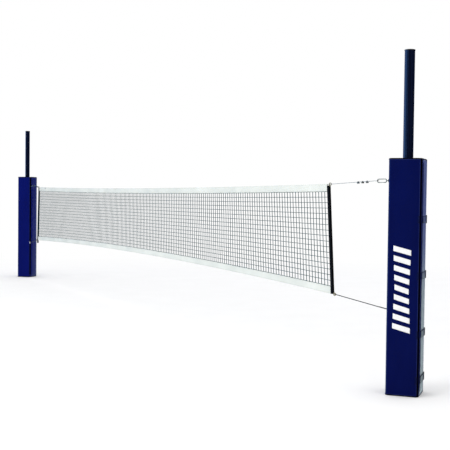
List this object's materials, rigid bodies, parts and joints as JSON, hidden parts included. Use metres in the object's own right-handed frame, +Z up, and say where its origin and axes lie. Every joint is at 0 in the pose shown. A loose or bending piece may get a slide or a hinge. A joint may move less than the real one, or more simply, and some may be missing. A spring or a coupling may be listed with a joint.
{
  "type": "volleyball net on poles",
  "caption": "Volleyball net strung between two padded round posts, with sliding height brackets, a ratchet drum, snap hooks and opening post pads.",
  "frame": {"origin": "floor level, midway between the two post axes", "axes": "+X along the net to the anchor post, +Y across the net, +Z up"},
  "size_m": [11.3713, 0.3616, 2.926],
  "materials": {
    "post_paint": "gloss navy powder coat",
    "cap_plastic": "moulded black",
    "foot_rubber": "matt",
    "pad_vinyl": "coated vinyl, soft gloss",
    "pad_foam": "closed-cell foam",
    "strap_web": "woven hook-and-loop webbing",
    "buckle_plastic": "moulded black",
    "saddle_metal": "bead-blasted",
    "nut_steel": "zinc plated",
    "eye_black": "black coated steel",
    "eye_steel": "plated steel",
    "knob_plastic": "moulded black",
    "winch_steel": "zinc plated",
    "line_steel": "galvanised wire rope",
    "hook_chrome": "polished",
    "mesh_cord": "knotted polyester cord",
    "tape_white": "coated white webbing",
    "band_black": "black webbing sleeve",
    "dowel_glass": "fibreglass rod",
    "cord_black": "braided cord",
    "ring_brass": "polished"
  },
  "bodies": {
    "posts": {"anchor_post": "post_paint", "anchor_post_cap": "cap_plastic", "anchor_post_foot": "foot_rubber", "anchor_pad_cover": "pad_vinyl", "anchor_pad_foam": "pad_foam", "anchor_pad_binding": "pad_vinyl", "anchor_hook_patches": "strap_web", "winch_post": "post_paint", "winch_post_cap": "cap_plastic", "winch_post_foot": "foot_rubber", "winch_pad_cover": "pad_vinyl", "winch_pad_foam": "pad_foam", "winch_pad_binding": "pad_vinyl", "winch_hook_patches": "strap_web"},
    "anchor_flap": {"anchor_flap_cover": "pad_vinyl", "anchor_flap_foam": "pad_foam", "anchor_pad_straps": "strap_web", "anchor_strap_buckles": "buckle_plastic"},
    "winch_flap": {"winch_flap_cover": "pad_vinyl", "winch_flap_foam": "pad_foam", "winch_pad_straps": "strap_web", "winch_strap_buckles": "buckle_plastic"},
    "net": {"net_mesh": "mesh_cord", "net_top_tape": "tape_white", "net_bottom_tape": "tape_white", "anchor_end_band": "band_black", "winch_end_band": "band_black", "anchor_end_dowel": "dowel_glass", "winch_end_dowel": "dowel_glass", "top_cable": "line_steel", "bottom_cord": "cord_black", "anchor_cable_clips": "winch_steel", "winch_cable_clips": "winch_steel", "anchor_snap_hook": "hook_chrome", "winch_snap_hook": "hook_chrome", "net_corner_rings": "ring_brass", "winch_line": "line_steel", "winch_line_ferrule": "hook_chrome"},
    "anchor_top_slider": {"anchor_top_saddle": "saddle_metal", "anchor_top_slot_nut": "nut_steel", "anchor_top_eye": "eye_black"},
    "anchor_low_slider": {"anchor_low_saddle": "saddle_metal", "anchor_low_slot_nut": "nut_steel", "anchor_low_eye": "eye_steel"},
    "winch_low_slider": {"winch_low_saddle": "saddle_metal", "winch_low_slot_nut": "nut_steel", "winch_low_eye": "eye_steel"},
    "winch_top_slider": {"winch_top_saddle": "saddle_metal", "winch_top_slot_nut": "nut_steel", "winch_cheeks": "winch_steel"},
    "anchor_top_clamp": {"anchor_top_knob": "knob_plastic"},
    "anchor_low_clamp": {"anchor_low_knob": "knob_plastic"},
    "winch_top_clamp": {"winch_top_knob": "knob_plastic"},
    "winch_low_clamp": {"winch_low_knob": "knob_plastic"},
    "drum": {"winch_drum": "winch_steel", "winch_ratchet_wheel": "winch_steel", "winch_drum_wraps": "line_steel"},
    "pawl": {"winch_pawl": "winch_steel"},
    "anchor_gate": {"anchor_hook_gate": "hook_chrome"},
    "winch_gate": {"winch_hook_gate": "hook_chrome"}
  },
  "joints": [
    {"name": "net_height", "type": "slide", "parent": "posts", "child": "net", "axis": [0, 0, 1], "range_m": [-0.53, 0.78]},
    {"name": "anchor_top_slider_height", "type": "slide", "parent": "posts", "child": "anchor_top_slider", "axis": [0, 0, 1], "range_m": [-0.53, 0.78]},
    {"name": "anchor_low_slider_height", "type": "slide", "parent": "posts", "child": "anchor_low_slider", "axis": [0, 0, 1], "range_m": [-0.53, 0.78]},
    {"name": "winch_top_slider_height", "type": "slide", "parent": "posts", "child": "winch_top_slider", "axis": [0, 0, 1], "range_m": [-0.53, 0.78]},
    {"name": "winch_low_slider_height", "type": "slide", "parent": "posts", "child": "winch_low_slider", "axis": [0, 0, 1], "range_m": [-0.53, 0.78]},
    {"name": "anchor_top_knob_turn", "type": "hinge", "parent": "anchor_top_slider", "child": "anchor_top_clamp", "pos_m": [5.5, 0, 1.634], "axis": [1, 0, 0], "continuous": true},
    {"name": "anchor_low_knob_turn", "type": "hinge", "parent": "anchor_low_slider", "child": "anchor_low_clamp", "pos_m": [5.5, 0, 0.606], "axis": [1, 0, 0], "continuous": true},
    {"name": "winch_low_knob_turn", "type": "hinge", "parent": "winch_low_slider", "child": "winch_low_clamp", "pos_m": [-5.5, 0, 0.606], "axis": [1, 0, 0], "continuous": true},
    {"name": "winch_top_knob_turn", "type": "hinge", "parent": "winch_top_slider", "child": "winch_top_clamp", "pos_m": [-5.5, 0, 1.594], "axis": [1, 0, 0], "continuous": true},
    {"name": "winch_drum_turn", "type": "hinge", "parent": "winch_top_slider", "child": "drum", "pos_m": [-5.428, 0, 1.6494], "axis": [0, 1, 0], "continuous": true},
    {"name": "winch_pawl_tilt", "type": "hinge", "parent": "winch_top_slider", "child": "pawl", "pos_m": [-5.428, 0.028, 1.6724], "axis": [0, 1, 0], "range_deg": [-10, 12]},
    {"name": "anchor_gate_open", "type": "hinge", "parent": "net", "child": "anchor_gate", "pos_m": [5.209, 0, 1.6464], "axis": [0, 1, 0], "range_deg": [0, 17]},
    {"name": "winch_gate_open", "type": "hinge", "parent": "net", "child": "winch_gate", "pos_m": [-5.101, 0, 1.6464], "axis": [0, -1, 0], "range_deg": [0, 17]},
    {"name": "anchor_flap_open", "type": "hinge", "parent": "posts", "child": "anchor_flap", "pos_m": [5.50853, 0.18082, 0.9], "axis": [0, 0, 1], "range_deg": [0, 110]},
    {"name": "winch_flap_open", "type": "hinge", "parent": "posts", "child": "winch_flap", "pos_m": [-5.51263, 0.18058, 0.9], "axis": [0, 0, -1], "range_deg": [0, 110]}
  ],
  "couplings": [
    {"joint": "anchor_top_slider_height", "follows": "net_height", "ratio": 1},
    {"joint": "anchor_low_slider_height", "follows": "net_height", "ratio": 1},
    {"joint": "winch_top_slider_height", "follows": "net_height", "ratio": 1},
    {"joint": "winch_low_slider_height", "follows": "net_height", "ratio": 1}
  ]
}
